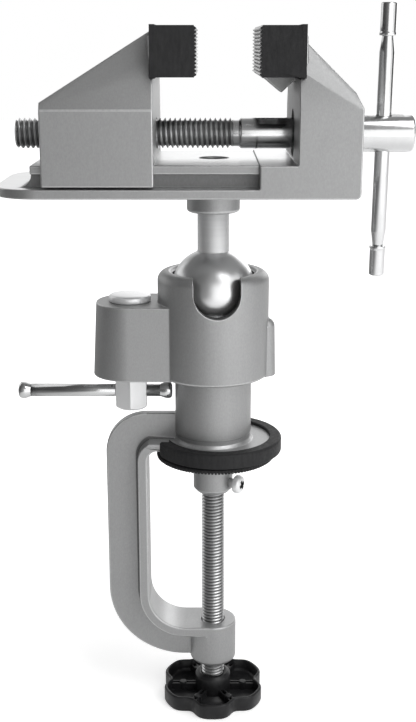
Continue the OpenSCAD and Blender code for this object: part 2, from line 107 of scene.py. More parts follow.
def reckon(tree, operation, *terms):
    """Adds a maths node whose terms are numbers or outputs of other nodes."""
    n = new_node(tree, "Math")
    n.operation = operation
    for socket, term in zip(n.inputs, terms):
        if isinstance(term, float):
            socket.default_value = term
        else:
            tree.links.new(term, socket)
    return n.outputs[0]


# Camera, light and floor
def make_camera():
    """The photo's view: the frame's height fits the photo's height in pixels."""
    lens = bpy.data.cameras.new("photo_camera")
    lens.sensor_fit = "VERTICAL"
    lens.sensor_height = SENSOR
    lens.lens = FOCAL_PX / PHOTO_H * SENSOR
    lens.clip_start = 0.01
    camera = add("photo_camera", lens)
    camera.location = CAMERA_AT
    camera.rotation_euler = (math.radians(90 - TILT_DOWN), 0, 0)
    scene.camera = camera


def area_light(name, place, aim, width, height, power):
    """A soft box that looks at its aim."""
    data = bpy.data.lights.new(name, "AREA")
    data.shape = "RECTANGLE"
    data.size = width
    data.size_y = height
    data.energy = power
    lamp = add(name, data)
    lamp.location = place
    lamp.rotation_euler = (Vector(aim) - Vector(place)).to_track_quat("-Z", "Y").to_euler()


def make_lights():
    """Large soft boxes, mostly from the right, so that the ball shows no hard rectangles."""
    area_light("key", place=(0.80, -0.50, 0.38), aim=(0, 0, 0.08), width=1.1, height=1.0, power=4.0)
    area_light("front", place=(0.37, -0.92, 0.15), aim=(0.02, 0, 0.08), width=0.9, height=0.8, power=2.4)
    area_light("top", place=(0.44, -0.40, 0.95), aim=(0.03, 0, 0.14), width=0.65, height=0.65, power=3.8)
    area_light("rim_right", place=(0.36, 0.80, 0.26), aim=(0, 0, 0.13), width=0.3, height=0.3, power=0.5)
    area_light("rim_left", place=(-0.55, 0.35, 0.30), aim=(0, 0, 0.1), width=0.5, height=0.7, power=1.0)


def fill_ramp(ramp, stops):
    """Sets a grey ramp from (position, value) pairs."""
    for i, (at, value) in enumerate(stops):
        e = ramp.color_ramp.elements[i] if i < 2 else ramp.color_ramp.elements.new(at)
        e.position = at
        e.color = (value, value, value, 1)


def make_world():
    """White for the camera, and for other rays a room that is dim on the viewer's side."""
    world = bpy.data.worlds.new("studio")
    scene.world = world
    world.use_nodes = True
    tree = world.node_tree
    tree.nodes.clear()
    link = tree.links.new
    split = new_node(tree, "SeparateXYZ")
    link(new_node(tree, "TexCoord").outputs["Generated"], split.inputs[0])
    room = new_node(tree, "Background")
    for axis, socket, stops in (("Y", "Color", DEPTH_STOPS), ("X", "Strength", WIDTH_STOPS)):
        share = new_node(tree, "MapRange", From_Min=-1, From_Max=1)
        link(split.outputs[axis], share.inputs["Value"])
        ramp = new_node(tree, "ValToRGB")
        fill_ramp(ramp, stops)
        link(share.outputs["Result"], ramp.inputs["Fac"])
        link(ramp.outputs["Color"], room.inputs[socket])
    white = new_node(tree, "Background", Color=(1, 1, 1, 1))
    mix = new_node(tree, "MixShader")
    link(new_node(tree, "LightPath").outputs["Is Camera Ray"], mix.inputs[0])
    link(room.outputs[0], mix.inputs[1])
    link(white.outputs[0], mix.inputs[2])
    link(mix.outputs[0], new_node(tree, "OutputWorld").inputs["Surface"])


def floor_white():
    """White paint that glows for the camera, more so away from the object.
    In mirrored light it is darker on the left."""
    mat = bpy.data.materials.new("floor_white")
    mat.use_nodes = True
    tree = mat.node_tree
    tree.nodes.clear()
    link = tree.links.new
    ray = new_node(tree, "LightPath")
    coords = new_node(tree, "TexCoord")
    split = new_node(tree, "SeparateXYZ")
    link(coords.outputs["Object"], split.inputs[0])
    across = new_node(tree, "MapRange", From_Min=MIRRORED_X[0], From_Max=MIRRORED_X[1],
                      To_Min=MIRRORED_TONE[0], To_Max=MIRRORED_TONE[1])
    link(split.outputs["X"], across.inputs["Value"])
    tone = new_node(tree, "Mix", A=FLOOR_WHITE)
    link(ray.outputs["Is Glossy Ray"], tone.inputs["Factor"])
    link(across.outputs["Result"], tone.inputs["B"])
    matte = new_node(tree, "BsdfDiffuse")
    link(tone.outputs["Result"], matte.inputs["Color"])

    far = new_node(tree, "VectorMath")
    far.operation = "LENGTH"
    link(coords.outputs["Object"], far.inputs[0])
    grow = new_node(tree, "MapRange", From_Min=FLOOR_FADE[0], From_Max=FLOOR_FADE[1],
                    To_Min=FLOOR_GLOW, To_Max=1.0)
    link(far.outputs["Value"], grow.inputs["Value"])
    mirrored = reckon(tree, "MULTIPLY", ray.outputs["Is Glossy Ray"], across.outputs["Result"])
    seen = reckon(tree, "MULTIPLY_ADD", mirrored, MIRRORED_GLOW, ray.outputs["Is Camera Ray"])
    glow = new_node(tree, "Emission")
    link(reckon(tree, "MULTIPLY", seen, grow.outputs["Result"]), glow.inputs["Strength"])
    both = new_node(tree, "AddShader")
    link(matte.outputs[0], both.inputs[0])
    link(glow.outputs[0], both.inputs[1])
    link(both.outputs[0], new_node(tree, "OutputMaterial").inputs["Surface"])
    return mat


def make_floor():
    """A wide white floor under the knob, which keeps the object's shadow."""
    bm = bmesh.new()
    bmesh.ops.create_grid(bm, x_segments=1, y_segments=1, size=FLOOR_SIZE)
    mesh = bpy.data.meshes.new("floor")
    bm.to_mesh(mesh)
    bm.free()
    mesh.materials.append(floor_white())
    floor = add("floor", mesh)
    floor.location.z = FLOOR_Z


# Materials
class Surface:
    """A material whose colour, roughness and bump come from small noises in the row frame."""

    def __init__(self, name, color, metallic, rough):
        self.mat = bpy.data.materials.new(name)
        self.mat.use_nodes = True
        self.tree = self.mat.node_tree
        self.link = self.tree.links.new
        self.bsdf = self.tree.nodes["Principled BSDF"]
        self.bsdf.inputs["Metallic"].default_value = metallic
        self.bsdf.inputs["Roughness"].default_value = rough
        self.bsdf.inputs["Base Color"].default_value = (*color, 1)
        self.coords = new_node(self.tree, "TexCoord").outputs["Object"]
        self.bump_out = None

    def noise(self, scale, stretch=(1, 1, 1)):
        """A noise of so many waves per metre, closer along an axis with a larger stretch."""
        place = new_node(self.tree, "Mapping", Scale=stretch)
        self.link(self.coords, place.inputs["Vector"])
        n = new_node(self.tree, "TexNoise", Scale=scale, Detail=3.0, Roughness=0.55)
        self.link(place.outputs["Vector"], n.inputs["Vector"])
        return n.outputs["Fac"]

    def spread(self, fac, low, high):
        """Maps a noise's middle range to values from low to high."""
        m = new_node(self.tree, "MapRange", From_Min=0.3, From_Max=0.7, To_Min=low, To_Max=high)
        self.link(fac, m.inputs["Value"])
        return m.outputs["Result"]

    def tint(self, fac, dark, light):
        """Lets the colour wander between two tones."""
        mix = new_node(self.tree, "Mix")
        mix.data_type = "RGBA"
        mix.inputs["A"].default_value = (*dark, 1)
        mix.inputs["B"].default_value = (*light, 1)
        self.link(self.spread(fac, 0, 1), mix.inputs["Factor"])
        self.link(mix.outputs["Result"], self.bsdf.inputs["Base Color"])

    def rough(self, fac, low, high):
        """Lets the roughness wander between two values."""
        self.link(self.spread(fac, low, high), self.bsdf.inputs["Roughness"])

    def bump(self, fac, height_mm):
        """Adds fine relief on top of what is there."""
        b = new_node(self.tree, "Bump", Distance=height_mm * MM, Strength=1.0)
        self.link(fac, b.inputs["Height"])
        if self.bump_out:
            self.link(self.bump_out, b.inputs["Normal"])
        self.bump_out = b.outputs["Normal"]
        self.link(self.bump_out, self.bsdf.inputs["Normal"])

    def shine(self, level):
        """Sets how strongly a surface that isn't metal reflects."""
        self.bsdf.inputs["Specular IOR Level"].default_value = level


def grey(v):
    """A grey with a faint cool cast."""
    return (v, v * 1.005, v * 1.01)


def satin_casting():
    """Blasted grey alloy with a faint upright grain."""
    s = Surface("satin_casting", grey(0.34), metallic=0.65, rough=0.46)
    grain = s.noise(900, (1, 1, 0.12))
    s.tint(s.noise(2100, (1, 1, 0.5)), grey(0.32), grey(0.36))
    s.rough(grain, 0.43, 0.50)
    s.bump(grain, 0.005)
    s.bump(s.noise(1400), 0.006)
    return s.mat


def worn_edge_and_highlight():
    """Casting rubbed a little brighter on its rounded edges, and painted lighter there as a highlight."""
    s = Surface("worn_edge_and_highlight", grey(0.48), metallic=0.8, rough=0.38)
    s.tint(s.noise(900), grey(0.44), grey(0.52))
    s.rough(s.noise(500), 0.34, 0.42)
    return s.mat


def painted_sheen_casting():
    """Casting painted lighter on faces that look up, as a painted reflection."""
    s = Surface("painted_sheen_casting", grey(0.45), metallic=0.7, rough=0.42)
    s.tint(s.noise(1500), grey(0.43), grey(0.47))
    s.rough(s.noise(800), 0.38, 0.46)
    s.bump(s.noise(1400), 0.004)
    return s.mat


def painted_shade_casting():
    """Rough casting, painted darker as shade."""
    s = Surface("painted_shade_casting", grey(0.22), metallic=0.5, rough=0.55)
    s.tint(s.noise(1300, (1, 1, 0.5)), grey(0.20), grey(0.24))
    s.bump(s.noise(1400), 0.006)
    return s.mat


def painted_shade_groove():
    """Darkest casting, painted shade in the groove beside the frame's rim."""
    s = Surface("painted_shade_groove", grey(0.15), metallic=0.4, rough=0.6)
    s.tint(s.noise(1300), grey(0.13), grey(0.17))
    s.bump(s.noise(1400), 0.006)
    return s.mat


def milled_alloy_and_sheen():
    """Alloy with fine milling lines along x, painted bright as a reflection."""
    s = Surface("milled_alloy_and_sheen", grey(0.76), metallic=0.9, rough=0.30)
    s.tint(s.noise(150, (0.3, 2, 1)), grey(0.74), grey(0.79))
    s.rough(s.noise(400, (0.2, 3, 1)), 0.27, 0.33)
    s.bump(s.noise(600, (0.1, 3, 1)), 0.001)
    return s.mat


def polished_alloy():
    """The ball's even, soft polish."""
    s = Surface("polished_alloy", grey(0.65), metallic=0.95, rough=0.30)
    s.tint(s.noise(90), grey(0.64), grey(0.66))
    s.rough(s.noise(60), 0.29, 0.31)
    return s.mat


def turned_alloy():
    """Pale, matt alloy with faint turning lines."""
    s = Surface("turned_alloy", grey(0.73), metallic=0.9, rough=0.62)
    s.tint(s.noise(300, (0.2, 0.2, 3)), grey(0.71), grey(0.75))
    s.rough(s.noise(500, (1, 1, 3)), 0.60, 0.64)
    return s.mat


def bright_chrome():
    """Plating of the bars and the main screw's shank."""
    s = Surface("bright_chrome", grey(0.62), metallic=1.0, rough=0.17)
    s.tint(s.noise(200), grey(0.60), grey(0.64))
    s.rough(s.noise(500), 0.15, 0.19)
    s.bump(s.noise(300), 0.001)
    return s.mat


def zinc_plate():
    """Pale plating of the small screws, the nut and the inner parts."""
    s = Surface("zinc_plate", grey(0.88), metallic=0.4, rough=0.36)
    s.tint(s.noise(160), grey(0.86), grey(0.89))
    s.rough(s.noise(300), 0.34, 0.40)
    s.bump(s.noise(500), 0.001)
    return s.mat


def thread_steel():
    """Bare steel of the threads and the retaining ring."""
    s = Surface("thread_steel", grey(0.56), metallic=1.0, rough=0.30)
    s.tint(s.noise(90), grey(0.52), grey(0.59))
    s.rough(s.noise(300), 0.28, 0.34)
    s.bump(s.noise(900), 0.001)
    return s.mat


def thread_root_shade():
    """Steel in the grooves of the threads, painted dark as shade."""
    s = Surface("thread_root_shade", grey(0.17), metallic=0.85, rough=0.42)
    s.tint(s.noise(120), grey(0.14), grey(0.19))
    s.rough(s.noise(400), 0.38, 0.46)
    s.bump(s.noise(900), 0.002)
    return s.mat


def black_rubber():
    """Matt black rubber of the jaws' caps and the clamp's pads."""
    s = Surface("black_rubber", (0.016, 0.016, 0.017), metallic=0.0, rough=0.55)
    s.tint(s.noise(700, (1, 1, 0.25)), (0.016, 0.016, 0.017), (0.025, 0.025, 0.026))
    s.rough(s.noise(900), 0.48, 0.66)
    s.bump(s.noise(2200, (1, 1, 0.4)), 0.03)
    s.shine(0.22)
    return s.mat


def rubber_ridges():
    """Smoother rubber on the ridges, which catches the light."""
    s = Surface("rubber_ridges", (0.022, 0.022, 0.023), metallic=0.0, rough=0.3)
    s.tint(s.noise(700), (0.018, 0.018, 0.019), (0.028, 0.028, 0.029))
    s.rough(s.noise(900), 0.22, 0.34)
    return s.mat


def painted_shade_bore():
    """As-cast metal inside holes and recesses, painted nearly black as shade."""
    s = Surface("painted_shade_bore", grey(0.035), metallic=0.3, rough=0.55)
    s.tint(s.noise(400), grey(0.025), grey(0.05))
    s.bump(s.noise(900), 0.01)
    return s.mat


def black_plastic():
    """The knob's finely grained plastic."""
    s = Surface("black_plastic", (0.012, 0.012, 0.013), metallic=0.0, rough=0.34)
    s.tint(s.noise(300), (0.010, 0.010, 0.011), (0.018, 0.018, 0.019))
    s.rough(s.noise(500), 0.28, 0.42)
    s.bump(s.noise(1300), 0.02)
    s.shine(0.30)
    return s.mat


def make_materials():
    """All materials, by the short names that the pieces use."""
    return {
        "casting": satin_casting(),
        "edge": worn_edge_and_highlight(),
        "top_sheen": painted_sheen_casting(),
        "recess": painted_shade_casting(),
        "groove": painted_shade_groove(),
        "milled": milled_alloy_and_sheen(),
        "polished": polished_alloy(),
        "turned": turned_alloy(),
        "chrome": bright_chrome(),
        "zinc": zinc_plate(),
        "steel": thread_steel(),
        "root": thread_root_shade(),
        "rubber": black_rubber(),
        "ridges": rubber_ridges(),
        "bore": painted_shade_bore(),
        "plastic": black_plastic(),
    }


# Mesh helpers
def finish_piece(name, bm, body, mat, replaced=(), smooth=True):
    """Turns a bmesh in millimetres into a piece that rides on a body."""
    bmesh.ops.recalc_face_normals(bm, faces=bm.faces)
    bmesh.ops.scale(bm, vec=(MM, MM, MM), verts=bm.verts)
    mesh = bpy.data.meshes.new(name)
    for f in bm.faces:
        f.smooth = smooth
    bm.to_mesh(mesh)
    bm.free()
    mesh.materials.append(mat)
    piece = add(name, mesh)
    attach(piece, body)
    if replaced:
        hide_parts(*replaced)
    return piece


def paint(piece, mat, wanted):
    """Gives a further material to the faces that wanted takes, by their centre in millimetres and normal."""
    index = len(piece.data.materials)
    piece.data.materials.append(mat)
    for f in piece.data.polygons:
        if wanted(f.center / MM, f.normal):
            f.material_index = index


def apply_all(piece):
    """Makes the piece's modifiers part of its mesh."""
    bpy.context.view_layer.update()
    graph = bpy.context.evaluated_depsgraph_get()
    mesh = bpy.data.meshes.new_from_object(piece.evaluated_get(graph), depsgraph=graph)
    piece.modifiers.clear()
    old, piece.data = piece.data, mesh
    bpy.data.meshes.remove(old)
    mesh.name = piece.name
    return piece


def shade(piece, sharp=40):
    """Keeps flat faces flat beside their rounded edges."""
    bm = bmesh.new()
    bm.from_mesh(piece.data)
    for e in bm.edges:
        e.smooth = len(e.link_faces) == 2 and e.calc_face_angle(0) < math.radians(sharp)
    bm.to_mesh(piece.data)
    bm.free()
    w = piece.modifiers.new("shading", "WEIGHTED_NORMAL")
    w.mode = "FACE_AREA"
    w.weight = 100
    w.keep_sharp = True
    return apply_all(piece)


def bevel(piece, width, segments=2, angle=40):
    """Rounds the piece's edges for good, so that its mesh holds them."""
    m = piece.modifiers.new("edges", "BEVEL")
    m.width = width * MM
    m.segments = segments
    m.limit_method = "ANGLE"
    m.angle_limit = math.radians(angle)
    m.harden_normals = False
    m.use_clamp_overlap = True
    m.miter_outer = "MITER_ARC"
    shade(apply_all(piece))


def from_node(node, merge=0.004, flat=0.4):
    """A bmesh of a CAD node in millimetres, with its flat faces whole again."""
    bm = bmesh.new()
    bm.from_mesh(nodes[node].data)
    bmesh.ops.scale(bm, vec=(1 / MM, 1 / MM, 1 / MM), verts=bm.verts)
    bmesh.ops.remove_doubles(bm, verts=bm.verts, dist=merge)
    bmesh.ops.dissolve_limit(bm, angle_limit=math.radians(flat), verts=bm.verts, edges=bm.edges)
    return bm


def round_edges(bm, width, pick=None, segments=3, angle=30, hollow=False):
    """Rounds the sharp edges whose middle the picker takes, or only the hollow ones among them.
    The new faces on edges that stick out get the piece's second material."""
    edges = []
    for e in bm.edges:
        if len(e.link_faces) != 2 or e.calc_face_angle(0) <= math.radians(angle) or hollow and e.is_convex:
            continue
        if pick is None or pick((e.verts[0].co + e.verts[1].co) / 2):
            edges.append(e)
    made = bmesh.ops.bevel(bm, geom=edges, affect="EDGES", offset=width, offset_type="OFFSET",
                           segments=segments, profile=0.5, clamp_overlap=False, loop_slide=True,
                           miter_outer="ARC", spread=0.05)
    # Lighter edge material on convex rounds: wear and painted highlight on the castings.
    for f in made["faces"]:
        if sum(e.calc_face_angle_signed(0) for e in f.edges if len(e.link_faces) == 2) > 0:
            f.material_index = 1


def drop_crumbs(bm, dist=0.004, fin_area=0.06, least=12):
    """Takes out the slivers that rounding leaves where many edges meet, and loose bits of a few faces."""
    bmesh.ops.remove_doubles(bm, verts=bm.verts, dist=dist)
    bmesh.ops.dissolve_degenerate(bm, edges=bm.edges, dist=dist)
    fins = {min(e.link_faces, key=lambda f: f.calc_area()) for e in bm.edges if len(e.link_faces) > 2}
    bmesh.ops.delete(bm, geom=[f for f in fins if f.calc_area() < fin_area], context="FACES")
    left = set(bm.faces)
    while left:
        island, front = set(), [next(iter(left))]
        while front:
            f = front.pop()
            if f in left:
                left.remove(f)
                island.add(f)
                front.extend(g for e in f.edges for g in e.link_faces if g in left)
        if len(island) < least:
            bmesh.ops.delete(bm, geom=list(island), context="FACES")


def softened(node, body, mat, edge_mat, slot, *steps):
    """Stands for a CAD node, with its edges rounded step by step and made a little brighter, as wear and
    painted highlight.
    """
    bm = from_node(node)
    for step in steps:
        round_edges(bm, **step)
    drop_crumbs(bm)
    piece = finish_piece(node + "_piece", bm, body, mat, (node,))
    piece.data.materials.append(edge_mat)
    return shade(piece)


def loft(bm, rings):
    """Joins rings of vertices by faces; a ring of one vertex is a pole."""
    steps = max(len(ring) for ring in rings)
    for a, b in zip(rings, rings[1:]):
        if len(a) == 1 and len(b) == 1:
            continue
        for i in range(steps):
            j = (i + 1) % steps
            corners = [a[i % len(a)], a[j % len(a)], b[j % len(b)], b[i % len(b)]]
            unique = list(dict.fromkeys(corners))
            if len(unique) > 2:
                bm.faces.new(unique)


def revolve(bm, profile, place, steps=96):
    """Adds a body of revolution from (radius, height) pairs; radius 0 makes a pole."""
    turns = [TAU * i / steps for i in range(steps)]
    rings = []
    for r, h in profile:
        points = [(r * math.cos(a), r * math.sin(a), h) for a in turns] if r > 1e-6 else [(0, 0, h)]
        rings.append([bm.verts.new(place @ Vector(p)) for p in points])
    loft(bm, rings)


def rounded(profile, radius, steps=4):
    """Replaces each corner of a profile, but not its ends, with a small arc."""
    out = [profile[0]]
    for a, b, c in zip(profile, profile[1:], profile[2:]):
        pa, pb, pc = Vector(a), Vector(b), Vector(c)
        u, v = pa - pb, pc - pb
        t = min(radius, 0.45 * u.length, 0.45 * v.length)
        if abs(u.normalized().cross(v.normalized())) < 0.05 or t < 0.01:
            out.append(b)
            continue
        start, end = pb + u.normalized() * t, pb + v.normalized() * t
        for i in range(steps + 1):
            k = i / steps
            p = start * (1 - k) ** 2 + pb * 2 * k * (1 - k) + end * k ** 2
            out.append((max(p.x, 0.0), p.y))
    out.append(profile[-1])
    return out


# One turn of a thread: (share of the pitch, share of the depth below the crest)
THREAD_FORM = ((0.0, 1.0), (0.10, 0.93), (0.22, 0.60), (0.42, 0.04), (0.50, 0.0), (0.58, 0.04),
               (0.78, 0.60), (0.90, 0.93))


def thread(bm, place, r, depth, pitch, low, high, chamfer=0.9, steps=72):
    """Adds a right-handed thread as one helical surface between two heights, closed at both ends."""
    per = len(THREAD_FORM)
    turns = math.ceil((high - low) / pitch) + 2
    end_slope = 1.1
    columns = []
    for i in range(steps):
        a = TAU * i / steps
        column = []
        for k in range(-per, turns * per):
            along, below = THREAD_FORM[k % per]
            h = low + (k // per + along + i / steps) * pitch
            h = min(max(h, low), high)
            at = min(r - depth * below, r - chamfer + min(h - low, high - h) * end_slope)
            column.append(bm.verts.new(place @ Vector((at * math.cos(a), at * math.sin(a), h))))
        columns.append(column)
    made = []
    for i in range(steps):
        here, there = columns[i], columns[(i + 1) % steps]
        shift = per if i == steps - 1 else 0
        for k in range(len(here) - 1):
            if k + shift + 1 < len(there):
                made.append(bm.faces.new((here[k], here[k + 1], there[k + 1 + shift], there[k + shift])))
    verts = list({v for f in made for v in f.verts})
    bmesh.ops.remove_doubles(bm, verts=verts, dist=0.0005)
    bmesh.ops.dissolve_degenerate(bm, edges=bm.edges, dist=0.0005)
    edges = [e for e in bm.edges if e.is_boundary]
    bmesh.ops.holes_fill(bm, edges=edges, sides=0)


def darken_roots(piece, mats, from_axis, r, depth):
    """Painted shade keeps the grooves of a thread dark; from_axis gives a point's distance from the thread's
    axis.
    """
    paint(piece, mats["root"], lambda c, n: r - depth - 0.1 < from_axis(c) < r - depth * 0.7)


def cut(piece, *cutters):
    """Takes cutter meshes out of a piece for good."""
    for bm in cutters:
        bmesh.ops.recalc_face_normals(bm, faces=bm.faces)
        bmesh.ops.scale(bm, vec=(MM, MM, MM), verts=bm.verts)
        mesh = bpy.data.meshes.new("cutter")
        bm.to_mesh(mesh)
        bm.free()
        tool = add("cutter", mesh)
        m = piece.modifiers.new("cut", "BOOLEAN")
        m.operation = "DIFFERENCE"
        m.solver = "EXACT"
        m.object = tool
        apply_all(piece)
        bpy.data.objects.remove(tool)


def block(bm, low, high, place=UPRIGHT):
    """Adds a box between two opposite corners."""
    low, high = Vector(low), Vector(high)
    m = place @ Matrix.Translation((low + high) / 2) @ Matrix.Diagonal((*(high - low), 1))
    return bmesh.ops.create_cube(bm, size=1, matrix=m)["verts"]


def cross_recess(piece, size, depth, tip, mats):
    """Cuts a cross recess at a screw's tip, tapered as a screwdriver is, with painted shade on its walls."""
    wing, taper, turned = size * 0.13, 0.35, 20
    cutters = []
    for turn in (turned, turned + 90):
        bm = bmesh.new()
        at = tip @ Matrix.Rotation(math.radians(turn), 4, "Z")
        for v in block(bm, (-size / 2, -wing, -depth), (size / 2, wing, depth), at):
            p = at.inverted() @ v.co
            if p.z < 0:
                p.x *= taper
                v.co = at @ p
        cutters.append(bm)
    cut(piece, *cutters)
    inverse = tip.inverted()
    deepest, floor_from, rim_z, reach = -2.3, -1.5, -0.3, 3.2

    def in_recess(centre, normal):
        p = inverse @ centre
        n = inverse.to_3x3() @ normal
        steep = abs(n.z) < 0.75
        bottom = p.z < floor_from and n.z > 0
        return deepest < p.z < rim_z and math.hypot(p.x, p.y) < reach and (steep or bottom)

    # Painted shade, nearly black, on the recess's walls and floor.
    paint(piece, mats["bore"], in_recess)


# Screws
def make_main_screw(mats):
    """Threaded rod, a relief, the shank with the ring's groove, and the head that the handle slides in."""
    relief_r, shank_r, groove_r, head_r = 5.3, 6.15, 5.2, 7.5
    shank_x, groove_x, groove_end, head_x, end_x = 7.5, 33.0, 34.6, 57.0, 79.7
    bm = bmesh.new()
    thread(bm, ON_SCREW, pitch=2.0, low=-78.7, high=shank_x + 0.3, **MAIN_THREAD)
    profile = [(0, shank_x), (relief_r, shank_x), (relief_r, 10.2), (shank_r, 10.9), (shank_r, groove_x),
               (groove_r, groove_x), (groove_r, groove_end), (shank_r, groove_end), (shank_r, head_x),
               (7.2, head_x), (head_r, 57.4), (head_r, 79.0), (6.8, end_x), (0, end_x)]
    revolve(bm, rounded(profile, 0.35), ON_SCREW)
    screw = finish_piece("main_screw_piece", bm, "screw", mats["steel"], ("main_screw",))
    hole_r, half = 3.07, 12
    hole = bmesh.new()
    revolve(hole, [(0, -half), (hole_r, -half), (hole_r, half), (0, half)], ON_HANDLE, 48)
    cut(screw, hole)
    for f in screw.data.polygons:
        f.use_smooth = True
    paint(screw, mats["chrome"], lambda c, n: c.x > shank_x + 0.5)
    darken_roots(screw, mats, lambda p: math.hypot(p.y, p.z - SCREW_Z), **MAIN_THREAD)


def make_clamp_screw(mats):
    """The clamp's threaded rod, from the knob up to the foot."""
    bm = bmesh.new()
    thread(bm, UPRIGHT, pitch=1.5, low=-112.5, high=-18.5, chamfer=0.8, **CLAMP_THREAD)
    piece = finish_piece("clamp_screw_piece", bm, "clamp_spindle", mats["steel"],
                         ("clamp_screw",))
    darken_roots(piece, mats, lambda p: math.hypot(p.x, p.y), **CLAMP_THREAD)


def make_stem_bolt(mats):
    """The screw that holds the head on its stem; its head shows on the rail."""
    top = 122.6
    profile = [(0, 102), (3, 102), (3, 119.2), (5.3, 119.2), (5.5, 119.5), (5.5, 121.4), (5.3, 122.0),
               (4.6, 122.4), (3.0, 122.58), (0, top)]
    bm = bmesh.new()
    revolve(bm, profile, UPRIGHT, 64)
    bolt = finish_piece("stem_bolt_piece", bm, "stem", mats["zinc"], ("stem_bolt",))
    cross_recess(bolt, size=6.4, depth=2.2, tip=Matrix.Translation((0, 0, top)), mats=mats)


def make_disc_screw(mats):
    """The small screw in the side of the clamp's foot, turned towards the front right."""
    top, turned = 14.2, -28
    profile = [(0, 3.5), (2, 3.5), (2, 10.9), (3.7, 10.9), (3.95, 11.3), (3.95, 12.8), (3.7, 13.4),
               (2.8, 13.95), (1.4, 14.15), (0, top - 0.01)]
    side = (Matrix.Translation((0, 0, FOOT_SCREW_Z)) @ Matrix.Rotation(math.radians(turned), 4, "Z")
            @ Matrix.Rotation(math.radians(90), 4, "Y"))
    bm = bmesh.new()
    revolve(bm, profile, side, 48)
    small = finish_piece("disc_screw_piece", bm, "foot", mats["zinc"], ("disc_screw",))
    cross_recess(small, size=6.2, depth=2.0, tip=side @ Matrix.Translation((0, 0, top)), mats=mats)


# Handle, lock and ball
def make_handle(mats):
    """Handle bar with drawn-in ends, and the caps pressed on them."""
    slid = -4.1
    place = ON_HANDLE @ Matrix.Translation((0, 0, slid))
    half = [(3.0, 35.5), (2.95, 35.8), (2.15, 41.7), (2.1, 41.9), (2.1, 53.4), (0, 53.4)]
    bm = bmesh.new()
    revolve(bm, [(r, -h) for r, h in reversed(half)] + half, place)
    finish_piece("handle_bar_piece", bm, "handle", mats["chrome"], ("handle_bar",))

    cap = [(2.12, 41.7), (3.35, 41.7), (3.35, 42.7), (3.12, 43.2), (3.12, 53.8), (2.6, 54.2), (0, 54.2)]
    bm = bmesh.new()
    for turn in (0, 180):
        revolve(bm, rounded(cap, 0.3), place @ Matrix.Rotation(math.radians(turn), 4, "X"))
    finish_piece("handle_bar_caps_piece", bm, "handle", mats["chrome"], ("handle_bar_caps",))


def make_lock_cap(mats):
    """The lock's draw bolt; its round cap on the lug gets a painted highlight on top."""
    cap_top = 67.4
    profile = [(0, 29.2), (3.2, 29.2), (4, 30), (4, 64.85), (8.3, 64.85), (8.65, 65.1), (8.75, 65.5),
               (8.75, 66.8), (8.6, 67.2), (8.2, 67.5), (6.6, 67.85), (4, 68.2), (2, 68.28), (0, 68.3)]
    bm = bmesh.new()
    revolve(bm, profile, Matrix.Translation((LUG_X, 0, 0)))
    cap = finish_piece("lock_bolt_piece", bm, "sleeve", mats["zinc"], ("lock_bolt",))
    # Painted highlight: the cap's top takes the bright milled material.
    paint(cap, mats["milled"], lambda c, n: c.z > cap_top)


def make_lever(mats):
    """The lock's sliding bar, and its two ends that flare and are rounded off."""
    bar_r, left, right = 2.75, -81, -18.9
    left_tip, right_tip = -82.6, -17.3
    bm = bmesh.new()
    revolve(bm, [(0, left), (bar_r, left), (bar_r, right), (0, right)],
            Matrix.Translation((0, 0, LEVER_Z)) @ ALONG_X, 48)
    finish_piece("lever_bar_piece", bm, "lock_lever", mats["chrome"], ("lever_bar",))

    flare = [(0, 0), (2.2, 0.02), (2.9, 0.25), (3.35, 0.75), (3.55, 1.5), (3.55, 2.7), (3.42, 3.4),
             (3.1, 4.2), (2.84, 4.9), (2.76, 5.2)]
    bm = bmesh.new()
    for tip, turn in ((left_tip, 0), (right_tip, 180)):
        spin = Matrix.Rotation(math.radians(turn), 4, "Z")
        revolve(bm, flare, Matrix.Translation((tip, 0, LEVER_Z)) @ spin @ ALONG_X, 48)
    finish_piece("lever_bar_ends_piece", bm, "lock_lever", mats["chrome"], ("lever_bar_ends",))


def make_ball_stem(mats):
    """The polished ball, and the turned stem above it."""
    neck_r, stem_r = 6.9, 6.5
    slopes = [math.radians(a) for a in range(0, 157, 3)]
    ball = [(BALL_R * math.sin(a), BALL_Z - BALL_R * math.cos(a)) for a in slopes]
    top = BALL_Z + math.sqrt(BALL_R ** 2 - neck_r ** 2)
    stem = [(neck_r, top), (6.62, top + 0.16), (stem_r, top + 0.5), (stem_r, 103.5), (6.0, 104),
            (5, 104), (5, 118), (0, 118)]
    bm = bmesh.new()
    revolve(bm, ball + stem, UPRIGHT, 128)
    piece = finish_piece("ball_stem_piece", bm, "stem", mats["polished"], ("ball_stem",))
    paint(piece, mats["turned"], lambda c, n: c.z > top + 0.2)


